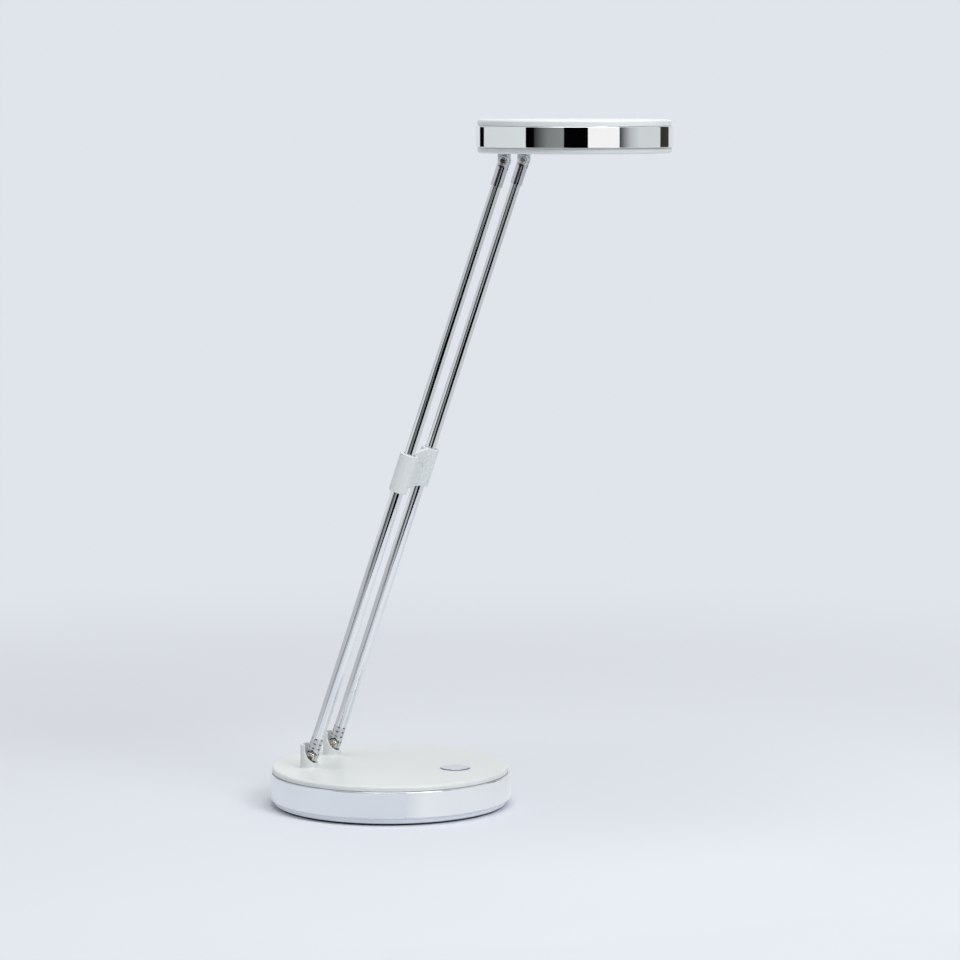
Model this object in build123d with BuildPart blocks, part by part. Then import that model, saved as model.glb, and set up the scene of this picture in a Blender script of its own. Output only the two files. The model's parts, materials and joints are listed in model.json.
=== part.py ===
from build123d import *
import os
from math import cos, radians, sin

# A free-standing desk lamp: a round weighted base, two telescopic arms side by side
# that tilt together, and a round LED head. Millimetres and degrees.
# The origin is under the middle of the base, +Z is up and the arms lean towards +X.

# Fits
running_gap = 0.05  # radial play of a pin or a sliding tube
seat_gap = 0.03  # radial play of a fixed round fit
side_gap = 0.05  # play beside a friction washer
slip_gap = 0.3  # room round a piece that drops into place
same_size = 0.001  # radii this close are the same

# Outline of the base, and its stack from the floor up
base_radius = 64.5  # outside of the trim band
foot_height = 1.0
tray_lip_height = 3.2
base_band_height = 13.8
base_rim_height = 3.0  # cover edge that shows above the band
base_rim_inset = 1.3
tray_inset = 1.7
base_edge_radius = 1.4
base_seam_height = 0.35  # shadow gap between the band and the cover's edge
seam_depth = 0.5
tray_edge_radius = 1.9
shell_wall = 2.2
tray_floor = 2.0
tray_ledge = 1.2  # lip inside the cover's skirt

# Trim bands, folded from thin bright sheet
band_sheet = 0.8
band_flange = 2.2  # depth of the folded edges, from the outside
band_edge_radius = 0.45

# Rubber foot ring
foot_width = 6.0
foot_edge_gap = 2.6  # from the tray's side to the ring
foot_groove = 0.7

# Ballast
ballast_height = 6.0
ballast_play = 0.4

# Screws of the base, through the tray into the cover's bosses
base_screw_inset = 8.2  # from the foot ring to the screw's axis
base_screw_count = 4
base_screw_start = 45.0
base_screw_radius = 1.5
base_screw_length = 9.0
base_screw_head_radius = 2.7
base_screw_head_height = 1.7
base_screw_seat = 1.6  # tray wall under the head
boss_wall = 2.4
boss_shoulder = 1.5  # step that holds the ballast down

# Push button and switch
button_edge_gap = 28.4  # from the base's edge to the button's axis
button_radius = 7.7
button_proud = 0.5
button_flange = 1.2
button_flange_height = 1.0
button_edge_radius = 0.3
button_travel = 1.0
travel_spare = 0.4
plunger_radius = 1.75
plunger_depth = 1.6
switch_width = 6.0
switch_height = 3.4

# Control board
board_length = 36.0
board_width = 26.0
board_thickness = 1.6
board_back_shift = 2.0  # board's middle behind the button
board_post_radius = 2.5
board_post_x = 13.0  # from the button
board_post_y = 8.5
board_screw_radius = 1.0
board_screw_length = 4.5
board_screw_head_radius = 1.8
board_screw_head_height = 1.1

# Power socket at the back of the base
socket_length = 13.0
socket_width = 9.0
socket_height = 10.0
socket_nose_radius = 4.0
socket_bore_radius = 3.2
socket_bore_depth = 11.0
socket_nose_short = 0.3  # nose end behind the band's face
power_pin_radius = 1.0
power_pin_short = 1.6  # pin end inside the nose

# Arms
arm_spacing = 39.6
lean = 18.5  # from upright
arm_length = 334.0  # between the pivots
lower_tube_radius = 3.3
lower_tube_wall = 0.3
upper_tube_radius = 2.75
upper_tube_wall = 0.4

# Hinge cups on the base, scooped at the front
cup_edge_gap = 25.4  # from the base's edge to the cup's axis
cup_radius = 4.8
cup_wall = 1.2
cup_height = 12.9
cup_front_height = 2.0
cup_scoop_radius = 9.3
cup_scoop_ahead = 8.0
cup_foot_radius = 1.2
cup_crown_radius = 0.5  # round the top
cup_rim_radius = 0.4  # along the scoop
base_pivot_rise = 6.3  # above the base's top
base_pivot_ahead = 1.5  # ahead of the cup's axis

# Friction hinges: a tongue between two ears, with a washer on each side
tongue_thickness = 1.4
washer_thickness = 0.3
ear_wall = 0.9
ear_face_radius = 3.5  # flat round the screw
slot_spare = 0.5  # from the tongue's end to the slot's end

# Base hinges
base_tongue_radius = 2.2
base_post_shoulder_radius = 3.4
base_post_shoulder_height = 1.2
base_stud_radius = 2.0
base_stud_spare = 0.7
base_post_nut_width = 7.0
base_post_nut_height = 2.2
base_hinge_screw_radius = 1.25
base_hinge_head_radius = 2.3
base_hinge_head_height = 1.2
base_hinge_nut_width = 4.0
base_hinge_nut_height = 0.9
hinge_screw_spare = 0.2  # thread past the nut

# Lower fork, which plugs into the lower tube
lower_fork_neck = 4.0  # from the pivot to the tube's end
lower_spigot_length = 10.0

# Bridge across the arms
bridge_top = 172.0  # from the base pivot, along the arms
bridge_height = 21.0
sleeve_radius = 4.85
sleeve_lip = 1.0
sleeve_mouth_gap = 0.5  # room round the upper tube
sleeve_edge_radius = 0.5
web_thickness = 2.2
web_blend_radius = 1.2
thumb_length = 24.0
thumb_height = 9.0
thumb_depth = 0.4
bush_length = 5.0

# Sliders at the lower ends of the upper tubes
slider_length = 10.0
slider_spigot_length = 8.0
slider_stop_gap = 0.1

# Upper forks
upper_fork_radius = 3.2
upper_fork_length = 13.6  # below the head pivot
upper_fork_socket = 8.0

# Outline of the head, and its stack from below
head_radius = 51.7  # outside of the trim band
head_plate_rim = 3.0
head_band_height = 11.0
head_cover_rim = 3.4
head_rim_inset = 1.3
head_edge_radius = 1.4
head_seam_height = 0.3  # shadow gaps between the band and the two shells
head_wall = 2.0
head_joint_height = 8.0  # where cover and plate meet inside the band
head_edge_gap = 19.3  # from the head's edge to its pivot
head_pivot_drop = 4.0  # pivot below the head

# Head hinges
head_tongue_radius = 3.4
head_washer_radius = 2.7
head_post_shoulder_radius = 3.4
head_post_shoulder_height = 0.5
head_stud_radius = 1.5
head_stud_spare = 0.6
head_post_nut_width = 5.5
head_post_nut_height = 1.8
head_hinge_screw_radius = 1.0
head_hinge_head_radius = 1.9
head_hinge_head_height = 1.1
head_hinge_nut_width = 4.0
head_hinge_nut_height = 1.0

# Light window
window_radius = 30.0
diffuser_gap = 0.15
diffuser_recess = 0.4
diffuser_flange = 1.6
diffuser_flange_height = 1.2
window_rib_wall = 1.0
window_rib_height = 3.0
reflector_wall = 2.4
reflector_height = 3.8
led_board_thickness = 1.6
led_length = 3.5
led_width = 2.8
led_height = 0.8
led_edge_gap = 10.0  # from the window's edge to the outer row
led_row_pitch = 10.0
led_inner_count = 6
led_outer_count = 14
led_screw_inset = 6.6  # from the board's edge to the screw's axis
led_screw_count = 3
led_post_radius = 2.5
led_screw_radius = 0.9
led_screw_length = 5.0
led_screw_head_radius = 1.6
led_screw_head_height = 1.0

# Screws of the head, through the plate into the cover's bosses
head_screw_count = 3
head_screw_start = 60.0
head_screw_radius = 1.0
head_screw_length = 7.0
head_screw_head_radius = 1.9
head_screw_head_height = 1.3
head_screw_seat = 1.2
head_boss_wall = 2.0
head_boss_gap = 1.8  # from the boss to the skirt

# Leads inside the base and the head
lead_radius = 0.7
lead_bend = 2.0
lead_end_bend = 1.1  # close to the board
lead_rise = 1.6  # lead's axis above the board
lead_inset = 2.5  # from the board's edge
arm_lead_y = 8.0
socket_lead_y = 2.5
head_lead_x = -20.0
head_lead_y = 10.0
head_lead_rise = 3.0

# Cross recess of a screw head, as shares of that head
recess_reach = 0.62
recess_width = 0.24
recess_depth = 0.55
head_round = 0.8

# Levels and radii of the base
tray_z = foot_height
floor_z = tray_z + tray_floor
band_z = tray_z + tray_lip_height
rim_z = band_z + base_band_height
top_z = rim_z + base_rim_height
ceiling_z = top_z - shell_wall
ballast_top = floor_z + ballast_height
rim_radius = base_radius - base_rim_inset
tray_radius = base_radius - tray_inset
skirt_radius = base_radius - band_flange - seat_gap
skirt_inner = skirt_radius - shell_wall
ledge_inner = skirt_inner - tray_ledge
ballast_radius = ledge_inner - ballast_play
foot_outer = tray_radius - foot_edge_gap
foot_inner = foot_outer - foot_width
base_screw_circle = foot_inner - base_screw_inset
button_reach = base_radius - button_edge_gap

# Screw bosses of the base
base_recess_depth = base_screw_head_height + slip_gap
base_recess_radius = base_screw_head_radius + slip_gap
boss_pin_radius = base_screw_radius + boss_wall
boss_radius = boss_pin_radius + boss_shoulder
pad_z = tray_z + base_recess_depth + base_screw_seat

# Button, switch and board levels
flange_top = ceiling_z - side_gap
flange_bottom = flange_top - button_flange_height
switch_top = flange_bottom - button_travel - travel_spare
board_top = switch_top - switch_height
board_bottom = board_top - board_thickness
board_x = button_reach - board_back_shift
board_posts = [(button_reach - board_post_x, board_post_y), (button_reach + board_post_x, -board_post_y)]

# Power socket levels: its flat face touches the round skirt at its two sides
socket_z = (band_z + rim_z) / 2
socket_face = -((skirt_inner**2 - (socket_width / 2) ** 2) ** 0.5)
socket_back = socket_face + socket_length
socket_bottom = socket_z - socket_height / 2
socket_top = socket_z + socket_height / 2
socket_nose_end = -(base_radius - socket_nose_short)

# Arm frames: local Z runs up the arm and local Y is the hinge axis
arm_sides = {"left": arm_spacing / 2, "right": -arm_spacing / 2}
cup_x = cup_edge_gap - base_radius
pivot_x = cup_x + base_pivot_ahead
pivot_z = top_z + base_pivot_rise
arm_up = Vector(sin(radians(lean)), 0, cos(radians(lean)))
arm_ahead = Vector(cos(radians(lean)), 0, -sin(radians(lean)))
arm_frame = Plane(origin=(pivot_x, 0, pivot_z), x_dir=arm_ahead, z_dir=arm_up)
head_pivot = arm_frame.origin + arm_up * arm_length
top_frame = Plane(origin=head_pivot, x_dir=arm_ahead, z_dir=arm_up)

# Hinge stack, from the middle of the tongue outwards
slot_width = tongue_thickness + 2 * (washer_thickness + side_gap)
ear_face = slot_width / 2 + ear_wall
washer_y = (slot_width - washer_thickness) / 2
cup_bore_radius = cup_radius - cup_wall
base_stem_width = 2 * (base_post_shoulder_radius - base_pivot_ahead)  # flush with the shoulder's front
lower_bore_radius = lower_tube_radius - lower_tube_wall
upper_bore_radius = upper_tube_radius - upper_tube_wall

# Stations along the arm
bridge_bottom = bridge_top - bridge_height
bush_top = bridge_top - sleeve_lip
lower_tube_top = bush_top - bush_length
slider_top = lower_tube_top - slider_stop_gap
upper_tube_top = arm_length - upper_fork_length + upper_fork_socket

# Head levels, from the underside of the plate, and radii
head_ahead = head_radius - head_edge_gap
head_origin = Vector(head_pivot.X + head_ahead, 0, head_pivot.Z + head_pivot_drop)
head_frame = Plane(origin=head_origin)
head_section = Plane(origin=head_origin, x_dir=(1, 0, 0), z_dir=(0, -1, 0))
head_axis = Axis(head_origin, (0, 0, 1))
head_rim_z = head_plate_rim + head_band_height
head_top = head_rim_z + head_cover_rim
head_ceiling = head_top - head_wall
head_rim_radius = head_radius - head_rim_inset
head_skirt_radius = head_radius - band_flange - seat_gap
head_skirt_inner = head_skirt_radius - head_wall
flange_radius = window_radius + diffuser_flange
rib_inner = flange_radius + diffuser_gap
rib_outer = rib_inner + window_rib_wall
flange_z = head_wall + diffuser_flange_height
led_board_bottom = flange_z + reflector_height
led_board_top = led_board_bottom + led_board_thickness
led_outer_circle = window_radius - led_edge_gap
led_inner_circle = led_outer_circle - led_row_pitch
led_screw_circle = flange_radius - led_screw_inset
head_recess_depth = head_screw_head_height + slip_gap
head_recess_radius = head_screw_head_radius + slip_gap
head_boss_radius = head_screw_radius + head_boss_wall
head_screw_circle = head_skirt_inner - head_boss_gap - head_boss_radius
head_pad_z = head_recess_depth + head_screw_seat
head_stud_end = head_wall + head_post_nut_height + head_stud_spare

standing = (Align.CENTER, Align.CENTER, Align.MIN)
hanging = (Align.CENTER, Align.CENTER, Align.MAX)
across = (90, 0, 0)  # turns a cylinder's axis along Y

os.makedirs("parts", exist_ok=True)


def save(piece, name):
    """Label a finished piece and write it."""
    piece.part.label = name
    export_step(piece.part, f"parts/{name}.step")


def of_radius(shapes, radius):
    """The round edges or faces of one radius."""
    return shapes.filter_by(lambda shape: abs(shape.radius - radius) < same_size)


def pan_screw(shank_radius, shank_length, head_radius, head_height):
    """A cross-recess pan-head screw seated on Z = 0, with its head above."""
    with BuildPart() as screw:
        Cylinder(head_radius, head_height, align=standing)
        fillet(screw.faces().sort_by(Axis.Z)[-1].edges(), head_round * head_height)
        with Locations((0, 0, head_height)):
            for turn in (0, 90):
                Box(
                    2 * recess_reach * head_radius,
                    recess_width * head_radius,
                    2 * recess_depth * head_height,
                    rotation=(0, 0, turn),
                    mode=Mode.SUBTRACT,
                )
        Cylinder(shank_radius, shank_length, align=hanging)
    return screw.part


def hex_nut(width, height, bore_radius):
    """A plain nut standing on Z = 0."""
    with BuildPart() as nut:
        with BuildSketch():
            RegularPolygon(width / 2, 6, major_radius=False)
            Circle(bore_radius, mode=Mode.SUBTRACT)
        extrude(amount=height)
    return nut.part


def trim_band(section, axis, radius, low, height):
    """A band of thin sheet, folded in at its top and bottom edges."""
    inside = radius - band_flange
    with BuildPart() as band:
        with BuildSketch(section) as profile:
            with Locations((inside, low)):
                Rectangle(band_flange, height, align=(Align.MIN, Align.MIN))
            fillet(profile.vertices().group_by(Axis.X)[-1], band_edge_radius)
            with Locations((inside, low + band_sheet)):
                Rectangle(
                    band_flange - band_sheet,
                    height - 2 * band_sheet,
                    align=(Align.MIN, Align.MIN),
                    mode=Mode.SUBTRACT,
                )
        revolve(axis=axis)
    return band


# Base cover: a shell with a skirt, two scooped hinge cups, screw bosses and board posts
with BuildPart() as base_cover:
    with BuildSketch(Plane.XZ) as cover_section:
        with BuildLine():
            Polyline(
                (0, ceiling_z),
                (skirt_inner, ceiling_z),
                (skirt_inner, band_z),
                (skirt_radius, band_z),
                (skirt_radius, rim_z),
                (rim_radius - seam_depth, rim_z),
                (rim_radius - seam_depth, rim_z + base_seam_height),
                (rim_radius, rim_z + base_seam_height),
                (rim_radius, top_z),
                (0, top_z),
                close=True,
            )
        make_face()
        fillet(cover_section.vertices().sort_by_distance((rim_radius, top_z))[0], base_edge_radius)
    revolve(axis=Axis.Z)
    with Locations(*[(cup_x, y, top_z) for y in arm_sides.values()]):
        Cylinder(cup_radius, cup_height, align=standing)
    for level, rounding in ((0, cup_foot_radius), (-1, cup_crown_radius)):
        cup_circles = of_radius(base_cover.edges().filter_by(GeomType.CIRCLE), cup_radius)
        fillet(cup_circles.group_by(Axis.Z)[level], rounding)
    with Locations((cup_x + cup_scoop_ahead, 0, top_z + cup_front_height + cup_scoop_radius)):
        Cylinder(cup_scoop_radius, arm_spacing + 4 * cup_radius, rotation=across, mode=Mode.SUBTRACT)
    with Locations(*[(cup_x, y, top_z) for y in arm_sides.values()]):
        Cylinder(cup_bore_radius, cup_height, align=standing, mode=Mode.SUBTRACT)
        Cylinder(base_stud_radius + seat_gap, shell_wall, align=hanging, mode=Mode.SUBTRACT)
    scooped = of_radius(base_cover.faces().filter_by(GeomType.CYLINDER), cup_scoop_radius)
    fillet(scooped.edges(), cup_rim_radius)
    with Locations((button_reach, 0, top_z)):
        Cylinder(button_radius + slip_gap, shell_wall, align=hanging, mode=Mode.SUBTRACT)
    with PolarLocations(base_screw_circle, base_screw_count, start_angle=base_screw_start):
        with Locations((0, 0, ceiling_z)):
            Cylinder(boss_radius, ceiling_z - ballast_top, align=hanging)
        with Locations((0, 0, ballast_top)):
            Cylinder(boss_pin_radius, ballast_top - pad_z, align=hanging)
        with Locations((0, 0, pad_z)):
            Cylinder(base_screw_radius + seat_gap, base_screw_length, align=standing, mode=Mode.SUBTRACT)
    with Locations(*[(x, y, ceiling_z) for x, y in board_posts]):
        Cylinder(board_post_radius, ceiling_z - board_top, align=hanging)
    with Locations(*[(x, y, board_top) for x, y in board_posts]):
        Cylinder(board_screw_radius + seat_gap, board_screw_length, align=standing, mode=Mode.SUBTRACT)
    with Locations(((socket_face + socket_back) / 2, 0, ceiling_z)):
        Box(socket_length / 2, socket_width, ceiling_z - socket_top, align=hanging)
    with Locations((-skirt_radius, 0, socket_z)):
        Cylinder(socket_nose_radius + slip_gap, 4 * shell_wall, rotation=(0, 90, 0), mode=Mode.SUBTRACT)
save(base_cover, "base_cover")

# Bright band round the base, with a hole for the power socket
base_trim_band = trim_band(Plane.XZ, Axis.Z, base_radius, band_z, base_band_height)
with base_trim_band:
    with Locations((-base_radius, 0, socket_z)):
        Cylinder(socket_nose_radius + slip_gap, 2 * band_flange, rotation=(0, 90, 0), mode=Mode.SUBTRACT)
save(base_trim_band, "base_trim_band")

# Tray that closes the base from below
with BuildPart() as base_tray:
    with BuildSketch(Plane.XZ) as tray_section:
        with BuildLine():
            Polyline(
                (0, tray_z),
                (foot_inner, tray_z),
                (foot_inner, tray_z + foot_groove),
                (foot_outer, tray_z + foot_groove),
                (foot_outer, tray_z),
                (tray_radius, tray_z),
                (tray_radius, band_z),
                (ledge_inner, band_z),
                (ledge_inner, floor_z),
                (0, floor_z),
                close=True,
            )
        make_face()
        fillet(tray_section.vertices().sort_by_distance((tray_radius, tray_z))[0], tray_edge_radius)
    revolve(axis=Axis.Z)
    with PolarLocations(base_screw_circle, base_screw_count, start_angle=base_screw_start):
        with Locations((0, 0, floor_z)):
            Cylinder(boss_pin_radius, pad_z - floor_z, align=standing)
        with Locations((0, 0, tray_z)):
            Cylinder(base_recess_radius, base_recess_depth, align=standing, mode=Mode.SUBTRACT)
            Cylinder(base_screw_radius + seat_gap, pad_z - tray_z, align=standing, mode=Mode.SUBTRACT)
    with Locations((socket_back, 0, floor_z)):
        Box(
            socket_back + ledge_inner,
            socket_width,
            socket_bottom - floor_z,
            align=(Align.MAX, Align.CENTER, Align.MIN),
        )
save(base_tray, "base_tray")

# Rubber ring that the lamp stands on
with BuildPart() as base_foot_ring:
    with BuildSketch():
        Circle(foot_outer)
        Circle(foot_inner, mode=Mode.SUBTRACT)
    extrude(amount=tray_z + foot_groove)
save(base_foot_ring, "base_foot_ring")

# Steel ballast, held down on the tray by the shoulders of the cover's bosses
with BuildPart() as ballast_plate:
    with Locations((0, 0, floor_z)):
        Cylinder(ballast_radius, ballast_height, align=standing)
        with PolarLocations(base_screw_circle, base_screw_count, start_angle=base_screw_start):
            Cylinder(boss_pin_radius + slip_gap, ballast_height, align=standing, mode=Mode.SUBTRACT)
    with Locations((socket_back + ballast_play, 0, floor_z)):
        Box(
            base_radius,
            socket_width + 2 * ballast_play,
            ballast_height,
            align=(Align.MAX, Align.CENTER, Align.MIN),
            mode=Mode.SUBTRACT,
        )
save(ballast_plate, "ballast_plate")

# Screws that hold the tray to the cover, with their heads below
base_screw = pan_screw(base_screw_radius, base_screw_length, base_screw_head_radius, base_screw_head_height)
base_screw_seats = PolarLocations(base_screw_circle, base_screw_count, start_angle=base_screw_start)
with BuildPart() as base_screws:
    for seat in base_screw_seats.locations:
        x, y, _ = seat.position
        with Locations(Plane((x, y, tray_z + base_recess_depth), z_dir=(0, 0, -1))):
            add(base_screw)
save(base_screws, "base_screws")

# Control board under the button, screwed to the cover's posts from below
with BuildPart() as control_board:
    with Locations((board_x, 0, board_bottom)):
        Box(board_length, board_width, board_thickness, align=standing)
    with Locations(*[(x, y, board_bottom) for x, y in board_posts]):
        Cylinder(board_screw_radius + seat_gap, board_thickness, align=standing, mode=Mode.SUBTRACT)
save(control_board, "control_board")

board_screw = pan_screw(
    board_screw_radius, board_screw_length, board_screw_head_radius, board_screw_head_height
)
with BuildPart() as board_screws:
    with Locations(*[Plane((x, y, board_bottom), z_dir=(0, 0, -1)) for x, y in board_posts]):
        add(board_screw)
save(board_screws, "board_screws")

# Switch on the board, bored for the button's plunger
with BuildPart() as push_switch:
    with Locations((button_reach, 0, board_top)):
        Box(switch_width, switch_width, switch_height, align=standing)
    with Locations((button_reach, 0, switch_top)):
        Cylinder(
            plunger_radius + running_gap,
            plunger_depth + button_travel + travel_spare,
            align=hanging,
            mode=Mode.SUBTRACT,
        )
save(push_switch, "push_switch")

# Push button with its flange under the cover
with BuildPart() as switch_button:
    with Locations((button_reach, 0, flange_bottom)):
        Cylinder(button_radius + button_flange, button_flange_height, align=standing)
        Cylinder(button_radius, top_z + button_proud - flange_bottom, align=standing)
    fillet(switch_button.faces().sort_by(Axis.Z)[-1].edges(), button_edge_radius)
save(switch_button, "switch_button")

with BuildPart() as switch_plunger:
    with Locations((button_reach, 0, flange_bottom)):
        Cylinder(plunger_radius, flange_bottom - switch_top + plunger_depth, align=hanging)
save(switch_plunger, "switch_plunger")

# Power socket, held between the tray's block and the cover's rib
with BuildPart() as power_socket:
    with Locations((socket_face, 0, socket_z)):
        Box(socket_length, socket_width, socket_height, align=(Align.MIN, Align.CENTER, Align.CENTER))
    with BuildSketch(Plane((socket_nose_end, 0, socket_z), z_dir=(1, 0, 0))):
        Circle(socket_nose_radius)
    extrude(amount=socket_face - socket_nose_end)
    with BuildSketch(Plane((socket_nose_end, 0, socket_z), z_dir=(1, 0, 0))):
        Circle(socket_bore_radius)
    extrude(amount=socket_bore_depth, mode=Mode.SUBTRACT)
save(power_socket, "power_socket")

with BuildPart() as power_pin:
    with BuildSketch(Plane((socket_nose_end + power_pin_short, 0, socket_z), z_dir=(1, 0, 0))):
        Circle(power_pin_radius)
    extrude(amount=socket_bore_depth - power_pin_short)
save(power_pin, "power_pin")

# Base hinge posts: a stud through the cover, a shoulder and a tongue
for side, y in arm_sides.items():
    with BuildPart() as base_hinge_post:
        with Locations((cup_x, y, top_z)):
            Cylinder(base_post_shoulder_radius, base_post_shoulder_height, align=standing)
            Cylinder(
                base_stud_radius,
                shell_wall + base_post_nut_height + base_stud_spare,
                align=hanging,
            )
        with Locations((pivot_x, y, pivot_z)):
            Cylinder(base_tongue_radius, tongue_thickness, rotation=across)
            Box(
                base_stem_width,
                tongue_thickness,
                base_pivot_rise - base_post_shoulder_height,
                align=hanging,
            )
            Cylinder(
                base_hinge_screw_radius + running_gap,
                tongue_thickness,
                rotation=across,
                mode=Mode.SUBTRACT,
            )
    save(base_hinge_post, f"base_hinge_post_{side}")

post_nut = hex_nut(base_post_nut_width, base_post_nut_height, base_stud_radius + seat_gap)
with BuildPart() as base_post_nuts:
    with Locations(*[(cup_x, y, ceiling_z - base_post_nut_height) for y in arm_sides.values()]):
        add(post_nut)
save(base_post_nuts, "base_post_nuts")

# Leads in the base: socket to board, and board to the two posts
board_lead_x = board_x - board_length / 2 + lead_inset
lead_z = board_top + lead_rise
stud_end = ceiling_z - base_post_nut_height - base_stud_spare
base_routes = []
for sign in (1, -1):
    base_routes.append(
        [
            (cup_x, sign * arm_spacing / 2, stud_end),
            (cup_x, sign * arm_spacing / 2, (ballast_top + stud_end) / 2),
            (board_lead_x - board_length / 2, sign * arm_lead_y, lead_z),
            (board_lead_x, sign * arm_lead_y, lead_z),
            (board_lead_x, sign * arm_lead_y, board_top),
        ]
    )
    base_routes.append(
        [
            (socket_back, sign * socket_lead_y, socket_z),
            (socket_back + socket_length, sign * socket_lead_y, socket_z),
            (board_lead_x - board_length / 2, sign * socket_lead_y, lead_z),
            (board_lead_x, sign * socket_lead_y, lead_z),
            (board_lead_x, sign * socket_lead_y, board_top),
        ]
    )


def lead(points, bend):
    """A round lead along straight runs joined by arcs."""
    with BuildPart() as wire:
        with BuildLine(mode=Mode.PRIVATE) as route:
            FilletPolyline(*points, radius=bend)
        with BuildSketch(Plane(origin=route.line @ 0, z_dir=route.line % 0)):
            Circle(lead_radius)
        sweep(path=route.line)
    return wire.part


base_lead_parts = [lead(points, [lead_bend, lead_bend, lead_end_bend]) for points in base_routes]
with BuildPart() as base_leads:
    for lead_part in base_lead_parts:
        add(lead_part)
save(base_leads, "base_leads")


def beside(frame, y):
    """The same frame on one of the two arms."""
    return Plane(frame.origin + Vector(0, y, 0), x_dir=frame.x_dir, z_dir=frame.z_dir)


def arm_section(frame):
    """The plane of an arm's long section, with local X ahead and local Y up the arm."""
    return Plane(frame.origin, x_dir=frame.x_dir, z_dir=(0, -1, 0))


def cut_ears(away, fork_radius, tongue_radius, screw_radius):
    """Cut a fork's slot, ear flats and screw hole; away is 1 or -1, towards its free end."""
    with Locations((0, 0, away * (2 * fork_radius - tongue_radius - slot_spare))):
        Box(4 * fork_radius, slot_width, 4 * fork_radius, mode=Mode.SUBTRACT)
    with Locations((0, ear_face + fork_radius, 0), (0, -ear_face - fork_radius, 0)):
        Cylinder(ear_face_radius, 2 * fork_radius, rotation=across, mode=Mode.SUBTRACT)
    Cylinder(screw_radius + seat_gap, 4 * fork_radius, rotation=across, mode=Mode.SUBTRACT)


# Forks, tubes, bushes and sliders of the two arms
for side, y in arm_sides.items():
    arm = beside(arm_frame, y)
    with BuildPart(arm) as lower_fork:
        with BuildSketch(arm_section(arm)):
            with BuildLine():
                Polyline(
                    (lower_tube_radius, 0),
                    (lower_tube_radius, lower_fork_neck),
                    (lower_bore_radius - seat_gap, lower_fork_neck),
                    (lower_bore_radius - seat_gap, lower_fork_neck + lower_spigot_length),
                    (0, lower_fork_neck + lower_spigot_length),
                    (0, -lower_tube_radius),
                )
                CenterArc((0, 0), lower_tube_radius, -90, 90)
            make_face()
        revolve(axis=Axis(arm.origin, arm_up))
        cut_ears(-1, lower_tube_radius, base_tongue_radius, base_hinge_screw_radius)
    save(lower_fork, f"lower_fork_{side}")

    with BuildPart(arm) as lower_tube:
        with Locations((0, 0, lower_fork_neck)):
            Cylinder(lower_tube_radius, lower_tube_top - lower_fork_neck, align=standing)
            Cylinder(
                lower_bore_radius,
                lower_tube_top - lower_fork_neck,
                align=standing,
                mode=Mode.SUBTRACT,
            )
    save(lower_tube, f"lower_tube_{side}")

    with BuildPart(arm) as tube_bush:
        with Locations((0, 0, lower_tube_top)):
            Cylinder(lower_tube_radius, bush_length, align=standing)
            Cylinder(upper_tube_radius + running_gap, bush_length, align=standing, mode=Mode.SUBTRACT)
    save(tube_bush, f"tube_bush_{side}")

    with BuildPart(arm) as tube_slider:
        with Locations((0, 0, slider_top)):
            Cylinder(lower_bore_radius - running_gap, slider_length, align=hanging)
            Cylinder(upper_bore_radius - seat_gap, slider_spigot_length, align=standing)
    save(tube_slider, f"tube_slider_{side}")

    with BuildPart(arm) as upper_tube:
        with Locations((0, 0, slider_top)):
            Cylinder(upper_tube_radius, upper_tube_top - slider_top, align=standing)
            Cylinder(upper_bore_radius, upper_tube_top - slider_top, align=standing, mode=Mode.SUBTRACT)
    save(upper_tube, f"upper_tube_{side}")

    top = beside(top_frame, y)
    with BuildPart(top) as upper_fork:
        with BuildSketch(arm_section(top)):
            with BuildLine():
                Polyline(
                    (upper_fork_radius, 0),
                    (upper_fork_radius, -upper_fork_length),
                    (upper_tube_radius + seat_gap, -upper_fork_length),
                    (upper_tube_radius + seat_gap, upper_fork_socket - upper_fork_length),
                    (0, upper_fork_socket - upper_fork_length),
                    (0, upper_fork_radius),
                )
                CenterArc((0, 0), upper_fork_radius, 0, 90)
            make_face()
        revolve(axis=Axis(top.origin, arm_up))
        cut_ears(1, upper_fork_radius, head_tongue_radius, head_hinge_screw_radius)
    save(upper_fork, f"upper_fork_{side}")

# Bridge: two sleeves and a web with an oval thumb rest
with BuildPart(arm_frame) as arm_bridge:
    with Locations((0, 0, bridge_bottom)):
        Box(web_thickness, arm_spacing, bridge_height, align=standing)
    with Locations(*[(0, y, bridge_bottom) for y in arm_sides.values()]):
        Cylinder(sleeve_radius, bridge_height, align=standing)
    fillet(arm_bridge.edges().filter_by(Axis((0, 0, 0), arm_up)), web_blend_radius)
    end_faces = arm_bridge.faces().filter_by(GeomType.PLANE).sort_by(Axis(arm_frame.origin, arm_up))
    fillet(end_faces[0].edges() + end_faces[-1].edges(), sleeve_edge_radius)
    with BuildSketch(
        Plane(
            arm_frame.origin + arm_up * (bridge_top - bridge_height / 2) + arm_ahead * (web_thickness / 2),
            x_dir=(0, 1, 0),
            z_dir=arm_ahead,
        )
    ):
        Ellipse(thumb_length / 2, thumb_height / 2)
    extrude(amount=-thumb_depth, mode=Mode.SUBTRACT)
    with Locations(*[(0, y, bridge_bottom) for y in arm_sides.values()]):
        Cylinder(
            lower_tube_radius + seat_gap,
            bridge_height - sleeve_lip,
            align=standing,
            mode=Mode.SUBTRACT,
        )
        Cylinder(
            upper_tube_radius + sleeve_mouth_gap,
            bridge_height,
            align=standing,
            mode=Mode.SUBTRACT,
        )
save(arm_bridge, "arm_bridge")


def hinge_seats(frame, offset):
    """One frame per arm on a hinge axis, at an offset along +Y and facing -Y."""
    return [Plane(frame.origin + Vector(0, y + offset, 0), z_dir=(0, -1, 0)) for y in arm_sides.values()]


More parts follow.
